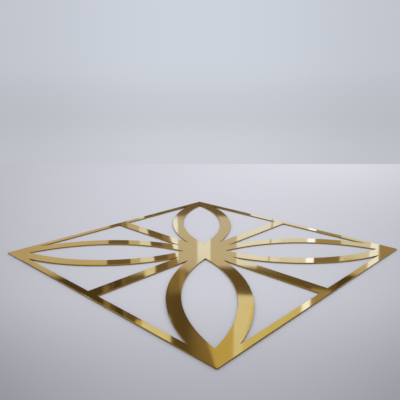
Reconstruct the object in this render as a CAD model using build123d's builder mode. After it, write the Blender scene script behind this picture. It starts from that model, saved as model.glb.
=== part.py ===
from build123d import *
import os
from math import sqrt

# Fretwork wall panel, in millimetres. A square sheet of mirror polished brass is cut through
# into a cross, a border and four pointed petals that run from the middle to the corners.
# Foam tape pads on its back hold it to the wall, and each pad still carries its release liner.
# The origin is the centre of the rear plane, and the polished face looks along +Z.

# Sheet
panel_side = 600.0
sheet_thickness = 2.5
strip_width = 26.4
petal_width = 150.0
kerf_radius = 0.15
edge_break = 0.2

# Foam tape pads
pad_thickness = 0.5
pad_length = 50.0
pad_margin = 3.2
pad_corner = 2.0

# Release liners, each with a tab to peel it by
liner_thickness = 0.1
tab_length = 8.0
tab_width = 7.0
tab_corner = 1.5

# The border is half a strip wide, so two panels side by side show one full strip between them.
border_width = strip_width / 2
half_side = panel_side / 2
border_inner = half_side - border_width
border_middle = half_side - border_width / 2
arm_edge = strip_width / 2

# A petal is two arcs that meet at the centre and at a corner of the panel.
petal_length = half_side * sqrt(2)
petal_middle = petal_length / 2
petal_rise = petal_width / 2
outer_radius = (petal_middle**2 + petal_rise**2) / (2 * petal_rise)
inner_radius = outer_radius - strip_width
arc_offset = outer_radius - petal_rise

# The opening inside a petal ends in two points on the petal's axis.
opening_reach = sqrt(inner_radius**2 - arc_offset**2)
opening_rise = petal_rise - strip_width
hub_reach = petal_middle - opening_reach
corner_reach = petal_middle + opening_reach

# The petal of the +X +Y quarter has its lower outer arc about this centre.
quarter = half_side / 2
arc_x = quarter - arc_offset / sqrt(2)
arc_y = quarter + arc_offset / sqrt(2)
arc_crown = (quarter + petal_rise / sqrt(2), quarter - petal_rise / sqrt(2))
arm_tip = (arc_x + sqrt(outer_radius**2 - (arc_y - arm_edge) ** 2), arm_edge)
border_tip = (border_inner, arc_y - sqrt(outer_radius**2 - (border_inner - arc_x) ** 2))

# Heights above the wall
sheet_back = liner_thickness + pad_thickness

# Pads stay this far inside the edges of the metal behind which they hide.
pad_width = strip_width - 2 * pad_margin
hub_pad_radius = hub_reach - pad_margin
corner_pad_inner = corner_reach / sqrt(2) + pad_margin
corner_pad_outer = half_side - pad_margin
corner_pad_side = corner_pad_outer - corner_pad_inner
corner_pad_middle = (corner_pad_inner + corner_pad_outer) / 2
side_pad_middle = corner_pad_outer - pad_length / 2
petal_strip_middle = petal_rise - strip_width / 2

os.makedirs("parts", exist_ok=True)


def save(piece, label):
    piece.part.label = label
    export_step(piece.part, f"parts/{label}.step")


# Opening inside a petal, lying along X about its own middle
with BuildSketch() as petal_opening:
    with BuildLine():
        ThreePointArc((-opening_reach, 0), (0, -opening_rise), (opening_reach, 0))
        ThreePointArc((opening_reach, 0), (0, opening_rise), (-opening_reach, 0))
    make_face()
    fillet(petal_opening.vertices(), kerf_radius)

# Openings on both sides of the +X arm, between arm, border and petals
with BuildSketch() as arm_openings:
    with BuildLine():
        Polyline(arm_tip, (border_inner, arm_edge), border_tip)
        ThreePointArc(border_tip, arc_crown, arm_tip)
    make_face()
    fillet(arm_openings.vertices(), kerf_radius)
    mirror(about=Plane.XZ)

# Brass sheet, cut in one piece, with its polished face's edges broken
with BuildPart() as fretwork_sheet:
    with BuildSketch(Plane.XY.offset(sheet_back)):
        Rectangle(panel_side, panel_side)
        with PolarLocations(petal_middle, 4, start_angle=45):
            add(petal_opening.sketch, mode=Mode.SUBTRACT)
        with PolarLocations(0, 4):
            add(arm_openings.sketch, mode=Mode.SUBTRACT)
    extrude(amount=sheet_thickness)
    chamfer(fretwork_sheet.faces().sort_by(Axis.Z)[-1].edges(), edge_break)
save(fretwork_sheet, "fretwork_sheet")


def seat(outward, angle, sideways=0.0):
    """Plane on the wall for one pad: so far out in this direction, and so far to its left."""
    out = Vector(1, 0, 0).rotate(Axis.Z, angle)
    left = Vector(0, 1, 0).rotate(Axis.Z, angle)
    return Plane(origin=out * outward + left * sideways, x_dir=out, z_dir=(0, 0, 1))


def round_outline():
    Circle(hub_pad_radius)


def square_outline():
    RectangleRounded(corner_pad_side, corner_pad_side, pad_corner)


def strip_outline():
    RectangleRounded(pad_length, pad_width, pad_corner)


def taped_seat(name, number, plane, outline, reach, tab_sideways=0.0):
    """Pad against the sheet's back, and its liner with the tab at the end nearer the centre."""
    with BuildPart() as pad:
        with BuildSketch(plane.offset(liner_thickness)):
            outline()
        extrude(amount=pad_thickness)
    save(pad, f"{name}_pad{number}")

    with BuildPart() as liner:
        with BuildSketch(plane):
            outline()
            with Locations((-reach, tab_sideways)):
                RectangleRounded(2 * tab_length, tab_width, tab_corner)
        extrude(amount=liner_thickness)
    save(liner, f"{name}_liner{number}")


# One pad behind the hub
taped_seat("hub", "", seat(0, 0), round_outline, hub_pad_radius)

# Four pads behind the corners, with the liner's tab behind the border
for turn in range(4):
    taped_seat(
        "corner",
        f"_{turn + 1}",
        seat(corner_pad_middle, turn * 90, corner_pad_middle),
        square_outline,
        corner_pad_side / 2,
        border_middle - corner_pad_middle,
    )

# Four pads behind the outer ends of the cross
for turn in range(4):
    taped_seat(
        "side",
        f"_{turn + 1}",
        seat(side_pad_middle, turn * 90),
        strip_outline,
        pad_length / 2,
    )

# Two pads behind each petal, one on the crown of each arc
for turn in range(4):
    for edge, sideways in enumerate((-petal_strip_middle, petal_strip_middle)):
        taped_seat(
            "petal",
            f"_{2 * turn + edge + 1}",
            seat(petal_middle, 45 + turn * 90, sideways),
            strip_outline,
            pad_length / 2,
        )
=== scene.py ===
import math

import bpy
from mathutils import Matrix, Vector


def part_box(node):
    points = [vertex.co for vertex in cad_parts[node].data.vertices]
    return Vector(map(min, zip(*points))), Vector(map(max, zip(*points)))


# Looks of the fretwork wall panel: mirror polished brass lying face up on a pale studio floor.
# Metres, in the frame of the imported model. Angles are in degrees. Where a value is a pair of
# limits, a smooth step starts at the first and ends at the second.

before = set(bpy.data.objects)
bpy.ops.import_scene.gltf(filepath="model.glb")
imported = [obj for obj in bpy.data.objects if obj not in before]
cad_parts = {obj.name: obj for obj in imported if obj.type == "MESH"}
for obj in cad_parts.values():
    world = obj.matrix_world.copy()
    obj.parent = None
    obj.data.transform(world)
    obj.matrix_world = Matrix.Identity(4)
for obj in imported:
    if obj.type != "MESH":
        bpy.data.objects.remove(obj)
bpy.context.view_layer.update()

# The room's own heading: zero azimuth in every list below looks this way from above, turned from
# +Y towards -X, which is across the panel from its +X -Y corner.
HEADING = 43.44

# Camera
LENS = 41.14
SENSOR = 36.0
CLIP_END = 50.0
EYE_AZIMUTH = 42.82
EYE_DISTANCE = 0.9381
EYE_HEIGHT = 0.3544
LOOK_DOWN = 14.382

# Floor, which ends a little beyond the panel. Limits are distances ahead of the panel's middle.
FLOOR_END = 1.115
FLOOR_SIDE = 6.0
FLOOR_GAP = 0.00005
FLOOR_COLOUR = (0.755, 0.755, 0.792)
FLOOR_CLOUD_SCALE = 3.0
FLOOR_CLOUD_TONE = 0.985
FLOOR_ROUGHNESS = 0.9

# Painted shade: its tone is painted darker towards the camera and comes back behind it.
FLOOR_PAINTED_SHADE_NEAR_LIMITS = (-0.62, -0.16)
FLOOR_PAINTED_SHADE_NEAR_TONE = 0.62
FLOOR_PAINTED_SHADE_BACK_LIMITS = (-1.3, -0.5)
FLOOR_PAINTED_SHADE_BACK_TONE = 0.92
FLOOR_PAINTED_SHADE_DIP_TONE = 0.70

# Painted shade also darkens it to both sides of a painted fan of light that opens from near the
# camera's place.
FLOOR_PAINTED_POOL_FROM = 0.87
FLOOR_PAINTED_POOL_LEAST = 0.35
FLOOR_PAINTED_POOL_SPREAD = 0.6
FLOOR_PAINTED_POOL_LIMITS = (-1.1, -0.5)
FLOOR_PAINTED_POOL_LOSS = 0.70

# Light on the floor: an even sky and a softbox beyond the panel's far right. Places are sideways,
# ahead and up along the heading.
SKY_LIGHT = (0.76, 0.766, 0.806)
LAMP_POWER = 3.4
LAMP_SIZE = 0.9
LAMP_PLACE = (0.85, 1.15, 0.95)
LAMP_AIM = (0.1, 0.3, 0)

# Backdrop, which the camera and the metal see. Limits are elevations, and azimuths for the sides.
BACKDROP_HIGH = (0.610, 0.645, 0.715)
BACKDROP_DIP = (0.562, 0.590, 0.640)
BACKDROP_LOW = (0.600, 0.620, 0.670)
BACKDROP_HIGH_LIMITS = (-4.0, 3.0)
BACKDROP_DIP_LIMITS = (-8.0, -4.0)
BACKDROP_SIDE_LIMITS = (3.0, 27.0)
BACKDROP_SIDE_TONE = 0.85

# The room that the brass mirrors starts between these elevations, above the photo's frame.
ROOM_LIMITS = (10.5, 12.5)

# Tones of the room
GLARE = (1.20, 1.50, 2.30)
SLIT = (1.00, 1.18, 1.62)
DAYLIGHT = (0.88, 1.02, 1.33)
DAYLIGHT_DIM = (0.78, 0.88, 1.02)
PALE_WALL = (0.72, 0.78, 0.84)
WALL = (0.60, 0.60, 0.60)
WARM_WALL = (0.58, 0.54, 0.42)
WARM_CORNER = (0.53, 0.48, 0.36)
LAMPLIT = (0.79, 0.83, 0.76)
LAMPLIT_WARM = (0.69, 0.69, 0.42)
LAMPLIT_DEEP = (0.60, 0.53, 0.24)
LIGHT_WOOD = (0.40, 0.33, 0.18)
WOOD = (0.35, 0.28, 0.15)
SHELF = (0.30, 0.24, 0.13)
DARK_WOOD = (0.24, 0.19, 0.10)
SHADE = (0.17, 0.13, 0.07)
GALLERY = (0.135, 0.105, 0.055)
DEEP_SHADE = (0.108, 0.080, 0.042)
DARKEST = (0.078, 0.056, 0.027)

# Panes of the room: name, left and right azimuth, low and high elevation, tone, soft edge, lean.
# Azimuths hold at the level elevation and lean by so much for each degree above it. Later panes
# cover earlier ones. Each of the four walls reaches by half a wall to both sides of its middle.
HALF_WALL = 45.0
PANE_LEVEL = 20.0
PANES = (
    ("left wall", -46, -8.3, -2, 23.0, WARM_WALL, 0.10, 0),
    ("left corner", -46, -21, -2, 23.0, WARM_CORNER, 1.5, 0),
    ("left door", -12.05, -8.9, -2, 23.0, SHADE, 0.10, -0.13),
    ("left door edge", -10.3, -8.9, -2, 18.4, SHELF, 0.15, 0),
    ("left jamb", -9.31, -7.7, -2, 23.0, WARM_WALL, 0.10, 0.06),
    ("gallery left", -46, -11.6, 22.8, 90, DARKEST, 0.4, 0),
    ("gallery stair", -11.8, -10.2, 22.9, 90, DARKEST, 0.4, 0),
    ("gallery middle", -10.4, 2.4, 23.3, 90, GALLERY, 0.5, 0),
    ("gallery post", -13.0, -12.1, 24.4, 28.6, DARK_WOOD, 0.25, 0),
    ("gallery glow", -4.3, -1.8, 22.9, 26.0, DARK_WOOD, 0.4, 0),
    ("left window", -7.95, -5.9, -2, 22.7, DAYLIGHT_DIM, 0.15, 0),
    ("left window side", -8.45, -7.5, 22.0, 22.9, WARM_WALL, 0.15, 0),
    ("left window top", -7.4, -5.9, 22.7, 24.0, LAMPLIT, 0.30, 0),
    ("left shelf", -5.5, -2.9, -2, 23.2, SHELF, 0.10, 0),
    ("slit window", -4.6, -2.9, -2, 22.4, SLIT, 0.06, 0),
    ("slit shutter", -6.0, -3.62, -2, 22.9, SHELF, 0.06, 0.33),
    ("left post", -6.45, -5.4, -2, 24.6, SHADE, 0.08, 0.22),
    ("left post shadow", -5.9, -4.95, -2, 24.6, SHADE, 0.35, 0),
    ("left post top", -5.9, -4.3, 20.7, 24.6, SHADE, 0.20, 0),
    ("middle wall", 1.4, 4.85, -2, 23.0, WALL, 0.10, 0),
    ("right window", 4.85, 13.95, -2, 22.5, DAYLIGHT, 0.10, 0),
    ("right window shade", 10.5, 13.95, -2, 22.5, DAYLIGHT_DIM, 0.5, 0),
    ("window sill", 7.6, 13.95, 22.3, 22.9, WOOD, 0.15, 0),
    ("window bar", 9.1, 9.35, -2, 22.5, WALL, 0.05, -0.06),
    ("right door", 14.8, 18.09, -2, 22.6, LIGHT_WOOD, 0.10, 0),
    ("right door foot", 14.8, 18.09, 19.8, 22.6, DARK_WOOD, 0.3, 0),
    ("right wall", 18.09, 21.5, -2, 22.5, PALE_WALL, 0.10, 0),
    ("right wall foot", 18.6, 21.5, 20.7, 22.5, WARM_WALL, 0.3, 0),
    ("right wall corner", 18.6, 20.1, 20.7, 22.5, LAMPLIT_DEEP, 0.3, 0),
    ("right slit", 21.5, 22.95, -2, 22.9, SLIT, 0.10, -0.05),
    ("far wall", 22.63, 46, -2, 23.0, WOOD, 0.10, 0.07),
    ("middle window", -0.35, 1.4, -2, 23.0, DAYLIGHT, 0.10, 0),
    ("back shelf", -5.3, 6.6, -2, 16.4, SHADE, 0.08, 0),
    ("gallery right", 2.4, 46, 22.7, 90, GALLERY, 0.3, 0),
    ("gallery end", 18.0, 46, 22.45, 90, DARKEST, 0.3, 0),
    ("gallery streak", -2.75, -2.0, 23.2, 25.6, WOOD, 0.25, 0),
    ("gallery low", -4.4, -1.0, 26.0, 90, DEEP_SHADE, 1.2, 0),
    ("gallery warm", -0.8, 6.0, 29.0, 90, DARK_WOOD, 1.5, 0),
    ("warm panel", -3.73, 4.7, 26.0, 90, LAMPLIT_DEEP, 0.08, 0.41),
    ("pale panel", 4.7, 9.5, 26.0, 90, LAMPLIT, 0.10, 0),
    ("right panel", 9.15, 20.0, 26.0, 90, LAMPLIT_WARM, 0.10, -0.26),
    ("left panel", -8.9, -4.1, 28.8, 90, LAMPLIT_DEEP, 0.10, 0),
    ("left panel glow", -8.1, -4.1, 28.8, 90, LAMPLIT, 0.10, 0),
    ("lit wood", 14.8, 25, 24.6, 90, LIGHT_WOOD, 0.15, 0),
    ("dark wood", 17.4, 46, 24.6, 90, DEEP_SHADE, 0.15, 0),
    ("bright strip", 13.93, 14.90, -2, 22.5, GLARE, 0.08, -0.02),
    ("bright strip above", 13.75, 14.8, 25.3, 90, GLARE, 0.10, 0),
)

# A cornice and a ceiling above all panes. Limits are elevations.
CORNICE = (0.17, 0.125, 0.045)
CORNICE_LIMITS = (34.9, 35.5)
CEILING = (0.60, 0.56, 0.27)
CEILING_LIMITS = (46.0, 54.0)
ZENITH = (0.86, 0.90, 0.74)
ZENITH_LIMITS = (58.0, 86.0)

# Brass: the face, the cut edges and the back, told apart by how far up their surface looks
BRASS = (0.800, 0.580, 0.240)
BRASS_WORN = (0.770, 0.545, 0.210)
# Cut edges: a matt cut finish, made darker still with painted shade.
CUT_BRASS_WITH_PAINTED_SHADE = (0.370, 0.230, 0.030)
MILL_BRASS = (0.700, 0.520, 0.270)
MILL_WORN = (0.640, 0.440, 0.120)
FACE_LIMITS = (0.3, 0.6)
BACK_LIMITS = (-0.9, -0.5)

# Clouds of wiping, polishing lines in two directions, striae of the cut, and the rolled back.
# A noise is given by its scale, detail, roughness and distortion, as far as they matter. Lines,
# striae and the rolled back are stretched by a scale for each axis, and the lines turned as well.
CLOUD_NOISE = (9.0, 4.0, 0.55, 0.6)
CLOUD_LIMITS = (0.40, 0.72)
FINE_NOISE = (1.0, 2.0)
LINES_A = ((60, 2600, 1), 33)
LINES_B = ((45, 3100, 1), -52)
STRIAE = (900, 900, 60)
ROLLED_NOISE = (1.0, 3.0)
ROLLED = (500, 12, 1)
ROLLED_LIMITS = (0.35, 0.65)
FACE_ROUGHNESS = 0.025
CLOUD_ROUGHNESS = 0.025
LINES_ROUGHNESS = 0.015
WALL_ROUGHNESS = 0.16
STRIAE_ROUGHNESS = 0.16
SWAY_NOISE = (14.0, 1.0)
SWAY_STRENGTH = 1.0
SWAY_HEIGHT = 0.000012
STRIAE_HEIGHT = 0.00002
STRIAE_STRENGTH = 0.25

# Foam tape
FOAM = (0.030, 0.030, 0.033)
FOAM_PORE_TONES = (0.6, 1.5)
FOAM_PORE_NOISE = (2600.0, 3.0, 0.6)
FOAM_PORE_HEIGHT = 0.00005
FOAM_PORE_STRENGTH = 0.5
FOAM_ROUGHNESS = 0.75
FOAM_PORE_ROUGHNESS = 0.2

# Release liner
LINER = (0.74, 0.77, 0.76)
LINER_CRINKLE_TONE = 0.9
LINER_CRINKLE_NOISE = (180.0, 3.0, 0.5, 0.4)
LINER_CRINKLE_HEIGHT = 0.00003
LINER_CRINKLE_STRENGTH = 0.3
LINER_ROUGHNESS = 0.22
LINER_CRINKLE_ROUGHNESS = 0.15


def toned(colour, factor):
    return tuple(factor * channel for channel in colour)


# Shader helpers
class Tree:
    """A node tree with short calls that return the output socket of what they add."""

    def __init__(self, tree):
        self.tree = tree
        self.nodes = tree.nodes
        self.nodes.clear()

    def add(self, kind, **settings):
        node = self.nodes.new(kind)
        for name, value in settings.items():
            setattr(node, name, value)
        return node

    def feed(self, socket, value):
        if isinstance(value, bpy.types.NodeSocket):
            self.tree.links.new(value, socket)
        elif isinstance(value, tuple) and len(value) == 3 and socket.type == "RGBA":
            socket.default_value = (*value, 1.0)
        else:
            socket.default_value = value

    def math(self, operation, *values):
        node = self.add("ShaderNodeMath", operation=operation)
        for socket, value in zip(node.inputs, values):
            self.feed(socket, value)
        return node.outputs[0]

    def mix(self, factor, first, second):
        node = self.add("ShaderNodeMix", data_type="RGBA")
        self.feed(node.inputs["Factor"], factor)
        self.feed(node.inputs[6], first)
        self.feed(node.inputs[7], second)
        return node.outputs[2]

    def scaled(self, colour, factor):
        node = self.add("ShaderNodeVectorMath", operation="SCALE")
        self.feed(node.inputs[0], colour)
        self.feed(node.inputs["Scale"], factor)
        return node.outputs[0]

    def step(self, value, limits, first=0.0, last=1.0):
        """Runs smoothly from first, where value is at the lower limit, to last at the upper."""
        node = self.add("ShaderNodeMapRange", interpolation_type="SMOOTHSTEP")
        self.feed(node.inputs["Value"], value)
        for name, number in (
            ("From Min", limits[0]),
            ("From Max", limits[1]),
            ("To Min", first),
            ("To Max", last),
        ):
            node.inputs[name].default_value = number
        return node.outputs[0]

    def band(self, value, low, high, soft):
        rise = self.step(value, (low - soft, low + soft))
        fall = self.step(value, (high - soft, high + soft), 1.0, 0.0)
        return self.math("MULTIPLY", rise, fall)

    def noise(self, where, scale, detail=3.0, roughness=0.5, distortion=0.0):
        node = self.add("ShaderNodeTexNoise")
        self.feed(node.inputs["Vector"], where)
        for name, number in (
            ("Scale", scale),
            ("Detail", detail),
            ("Roughness", roughness),
            ("Distortion", distortion),
        ):
            node.inputs[name].default_value = number
        return node.outputs["Fac"]

    def stretched(self, where, scale, turn=0.0):
        node = self.add("ShaderNodeMapping")
        self.feed(node.inputs["Vector"], where)
        node.inputs["Scale"].default_value = scale
        node.inputs["Rotation"].default_value = (0, 0, math.radians(turn))
        return node.outputs[0]

    def along_heading(self, where):
        """How far a vector reaches sideways, ahead and up, along the room's heading."""
        turned = self.add("ShaderNodeVectorRotate", rotation_type="Z_AXIS")
        self.feed(turned.inputs["Vector"], where)
        turned.inputs["Angle"].default_value = -math.radians(HEADING)
        parts = self.add("ShaderNodeSeparateXYZ")
        self.feed(parts.inputs[0], turned.outputs[0])
        return parts.outputs

    def bump(self, height, strength, distance, normal=None):
        node = self.add("ShaderNodeBump")
        node.inputs["Strength"].default_value = strength
        node.inputs["Distance"].default_value = distance
        self.feed(node.inputs["Height"], height)
        if normal is not None:
            self.feed(node.inputs["Normal"], normal)
        return node.outputs[0]


def new_surface(name):
    """A material, its tree, its object coordinates, and a shader joined to its output."""
    material = bpy.data.materials.new(name)
    material.use_nodes = True
    t = Tree(material.node_tree)
    where = t.add("ShaderNodeTexCoord").outputs["Object"]
    shader = t.add("ShaderNodeBsdfPrincipled")
    output = t.add("ShaderNodeOutputMaterial")
    t.feed(output.inputs["Surface"], shader.outputs[0])
    return material, t, where, shader


# World: soft light for the floor, a backdrop for the camera, and for the metal the same backdrop
# with a room above it
def make_world():
    world = bpy.data.worlds.new("studio")
    bpy.context.scene.world = world
    world.use_nodes = True
    t = Tree(world.node_tree)
    sideways, ahead, up = t.along_heading(t.add("ShaderNodeTexCoord").outputs["Generated"])
    azimuth = t.math("DEGREES", t.math("ARCTAN2", sideways, ahead))
    elevation = t.math("DEGREES", t.math("ARCSINE", up))

    # The four walls of the room are alike, so the metal looks much the same from each corner.
    folded = t.math("WRAP", azimuth, HALF_WALL, -HALF_WALL)
    above_level = t.math("SUBTRACT", elevation, PANE_LEVEL)
    room = WALL
    for _, left, right, low, high, tone, soft, lean in PANES:
        leant = t.math("MULTIPLY_ADD", above_level, -lean, folded) if lean else folded
        mask = t.math("MULTIPLY", t.band(leant, left, right, soft), t.band(elevation, low, high, soft))
        room = t.mix(mask, room, tone)

    ceiling = t.mix(t.step(elevation, ZENITH_LIMITS), CEILING, ZENITH)
    room = t.mix(t.step(elevation, CORNICE_LIMITS), room, CORNICE)
    room = t.mix(t.step(elevation, CEILING_LIMITS), room, ceiling)

    backdrop = t.mix(t.step(elevation, BACKDROP_HIGH_LIMITS), BACKDROP_DIP, BACKDROP_HIGH)
    backdrop = t.mix(t.step(elevation, BACKDROP_DIP_LIMITS), BACKDROP_LOW, backdrop)
    aside = t.math("ABSOLUTE", folded)
    backdrop = t.scaled(backdrop, t.step(aside, BACKDROP_SIDE_LIMITS, 1.0, BACKDROP_SIDE_TONE))

    # The metal shows the backdrop too, to just above where the photo's frame ends.
    room = t.mix(t.step(elevation, ROOM_LIMITS), backdrop, room)
    path = t.add("ShaderNodeLightPath")
    mirrored = t.math("MAXIMUM", path.outputs["Is Glossy Ray"], path.outputs["Is Transmission Ray"])
    light = t.mix(mirrored, SKY_LIGHT, room)
    light = t.mix(path.outputs["Is Camera Ray"], light, backdrop)
    background = t.add("ShaderNodeBackground")
    t.feed(background.inputs["Color"], light)
    output = t.add("ShaderNodeOutputWorld")
    t.feed(output.inputs["Surface"], background.outputs[0])


def make_camera():
    data = bpy.data.cameras.new("camera")
    data.lens = LENS
    data.sensor_width = SENSOR
    data.clip_end = CLIP_END
    camera = bpy.data.objects.new("camera", data)
    azimuth = math.radians(EYE_AZIMUTH)
    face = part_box("fretwork_sheet")[1].z
    camera.location = (
        EYE_DISTANCE * math.sin(azimuth),
        -EYE_DISTANCE * math.cos(azimuth),
        face + EYE_HEIGHT,
    )
    camera.rotation_euler = (math.radians(90 - LOOK_DOWN), 0, math.radians(HEADING))
    bpy.context.scene.collection.objects.link(camera)
    bpy.context.scene.camera = camera


def heading_point(sideways, ahead, height):
    """A point given to the right of, ahead of and above the panel's middle, along the heading."""
    turn = math.radians(HEADING)
    return Vector((
        sideways * math.cos(turn) - ahead * math.sin(turn),
        sideways * math.sin(turn) + ahead * math.cos(turn),
        height,
    ))


def make_floor():
    corners = [
        heading_point(side * FLOOR_SIDE / 2, ahead, -FLOOR_GAP)
        for side, ahead in (
            (-1, FLOOR_END - FLOOR_SIDE),
            (1, FLOOR_END - FLOOR_SIDE),
            (1, FLOOR_END),
            (-1, FLOOR_END),
        )
    ]
    mesh = bpy.data.meshes.new("floor")
    mesh.from_pydata(corners, [], [(0, 1, 2, 3)])
    floor = bpy.data.objects.new("floor", mesh)
    bpy.context.scene.collection.objects.link(floor)

    material, t, where, shader = new_surface("floor_paint_and_painted_shade")
    sideways, ahead, _ = t.along_heading(where)
    # Painted shade: the floor's colour darkens towards the camera and again behind it.
    painted_near_shade = t.step(ahead, FLOOR_PAINTED_SHADE_NEAR_LIMITS, FLOOR_PAINTED_SHADE_NEAR_TONE, 1.0)
    painted_back_shade = t.step(ahead, FLOOR_PAINTED_SHADE_BACK_LIMITS, FLOOR_PAINTED_SHADE_BACK_TONE, FLOOR_PAINTED_SHADE_DIP_TONE)
    painted_near_shade = t.math("MAXIMUM", painted_near_shade, painted_back_shade)
    # Painted pool of light: the floor's colour darkens to both sides of a fan, as painted shade.
    painted_pool_reach = t.math("MAXIMUM", t.math("ADD", ahead, FLOOR_PAINTED_POOL_FROM), FLOOR_PAINTED_POOL_LEAST)
    painted_pool_fan = t.math("ABSOLUTE", t.math("DIVIDE", sideways, painted_pool_reach))
    painted_pool_fan = t.math("MINIMUM", painted_pool_fan, FLOOR_PAINTED_POOL_SPREAD)
    painted_pool_loss = t.step(ahead, FLOOR_PAINTED_POOL_LIMITS, 0.0, -FLOOR_PAINTED_POOL_LOSS)
    side = t.math("MULTIPLY_ADD", t.math("MULTIPLY", painted_pool_fan, painted_pool_fan), painted_pool_loss, 1.0)
    cloud = t.noise(where, FLOOR_CLOUD_SCALE)
    tone = t.mix(cloud, FLOOR_COLOUR, toned(FLOOR_COLOUR, FLOOR_CLOUD_TONE))
    t.feed(shader.inputs["Base Color"], t.scaled(tone, t.math("MULTIPLY", painted_near_shade, side)))
    shader.inputs["Roughness"].default_value = FLOOR_ROUGHNESS
    shader.inputs["Specular IOR Level"].default_value = 0.0
    mesh.materials.append(material)


def make_lamp():
    data = bpy.data.lights.new("softbox", "AREA")
    data.shape = "DISK"
    data.size = LAMP_SIZE
    data.energy = LAMP_POWER
    lamp = bpy.data.objects.new("softbox", data)
    lamp.location = heading_point(*LAMP_PLACE)
    aim = heading_point(*LAMP_AIM) - lamp.location
    lamp.rotation_euler = aim.to_track_quat("-Z", "Y").to_euler()
    lamp.visible_glossy = False
    bpy.context.scene.collection.objects.link(lamp)


# Materials
def brass_material():
    """Mirror polish on the face and its broken edges, a finer matt cut on the walls whose dark colour
    is partly painted shade, a dull back.
    """
    material, t, where, shader = new_surface("polished_brass")
    facing = t.add("ShaderNodeSeparateXYZ")
    t.feed(facing.inputs[0], t.add("ShaderNodeNewGeometry").outputs["True Normal"])
    up = facing.outputs["Z"]
    polished = t.step(up, FACE_LIMITS)
    unpolished = t.math("SUBTRACT", 1.0, polished)

    cloud = t.step(t.noise(where, *CLOUD_NOISE), CLOUD_LIMITS)
    lines_a = t.noise(t.stretched(where, *LINES_A), *FINE_NOISE)
    lines_b = t.noise(t.stretched(where, *LINES_B), *FINE_NOISE)
    lines = t.math("MULTIPLY", t.math("ADD", lines_a, lines_b), 0.5)
    striae = t.noise(t.stretched(where, STRIAE), *FINE_NOISE)
    rolled = t.noise(t.stretched(where, ROLLED), *ROLLED_NOISE)

    face_colour = t.mix(cloud, BRASS, BRASS_WORN)
    mill_colour = t.mix(t.step(rolled, ROLLED_LIMITS), MILL_BRASS, MILL_WORN)
    # The cut walls take a brass darkened with painted shade beyond what their matt cut gives.
    colour = t.mix(polished, CUT_BRASS_WITH_PAINTED_SHADE, face_colour)
    colour = t.mix(t.step(up, BACK_LIMITS), mill_colour, colour)

    face_rough = t.math("MULTIPLY_ADD", cloud, CLOUD_ROUGHNESS, FACE_ROUGHNESS)
    face_rough = t.math("MULTIPLY_ADD", lines, LINES_ROUGHNESS, face_rough)
    wall_rough = t.math("MULTIPLY_ADD", striae, STRIAE_ROUGHNESS, WALL_ROUGHNESS)
    face_share = t.math("MULTIPLY", polished, face_rough)
    wall_share = t.math("MULTIPLY", unpolished, wall_rough)

    # A rolled sheet is never quite flat: the mirrored lines sway a little.
    sway = t.bump(t.noise(where, *SWAY_NOISE), SWAY_STRENGTH, SWAY_HEIGHT)
    grain = t.bump(t.math("MULTIPLY", striae, unpolished), STRIAE_STRENGTH, STRIAE_HEIGHT, sway)

    shader.inputs["Metallic"].default_value = 1.0
    t.feed(shader.inputs["Base Color"], colour)
    t.feed(shader.inputs["Roughness"], t.math("ADD", face_share, wall_share))
    t.feed(shader.inputs["Normal"], grain)
    return material


def foam_material():
    """Closed-cell acrylic foam: dark, matt, with fine pores."""
    material, t, where, shader = new_surface("acrylic_foam")
    pores = t.noise(where, *FOAM_PORE_NOISE)
    low, high = FOAM_PORE_TONES
    rough = t.math("MULTIPLY_ADD", pores, FOAM_PORE_ROUGHNESS, FOAM_ROUGHNESS)
    t.feed(shader.inputs["Base Color"], t.mix(pores, toned(FOAM, low), toned(FOAM, high)))
    t.feed(shader.inputs["Roughness"], rough)
    t.feed(shader.inputs["Normal"], t.bump(pores, FOAM_PORE_STRENGTH, FOAM_PORE_HEIGHT))
    return material


def liner_material():
    """Release liner: a smooth pale film with a faint crinkle."""
    material, t, where, shader = new_surface("release_film")
    crinkle = t.noise(where, *LINER_CRINKLE_NOISE)
    rough = t.math("MULTIPLY_ADD", crinkle, LINER_CRINKLE_ROUGHNESS, LINER_ROUGHNESS)
    t.feed(shader.inputs["Base Color"], t.mix(crinkle, LINER, toned(LINER, LINER_CRINKLE_TONE)))
    t.feed(shader.inputs["Roughness"], rough)
    t.feed(shader.inputs["Normal"], t.bump(crinkle, LINER_CRINKLE_STRENGTH, LINER_CRINKLE_HEIGHT))
    return material


def finish_nodes():
    finishes = {
        "sheet": brass_material(),
        "pad": foam_material(),
        "liner": liner_material(),
    }
    for name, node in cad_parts.items():
        kind = name.split("_")[1]
        node.data.materials.clear()
        node.data.materials.append(finishes[kind])


bpy.context.scene.view_settings.view_transform = "Standard"
make_camera()
make_world()
make_floor()
make_lamp()
finish_nodes()
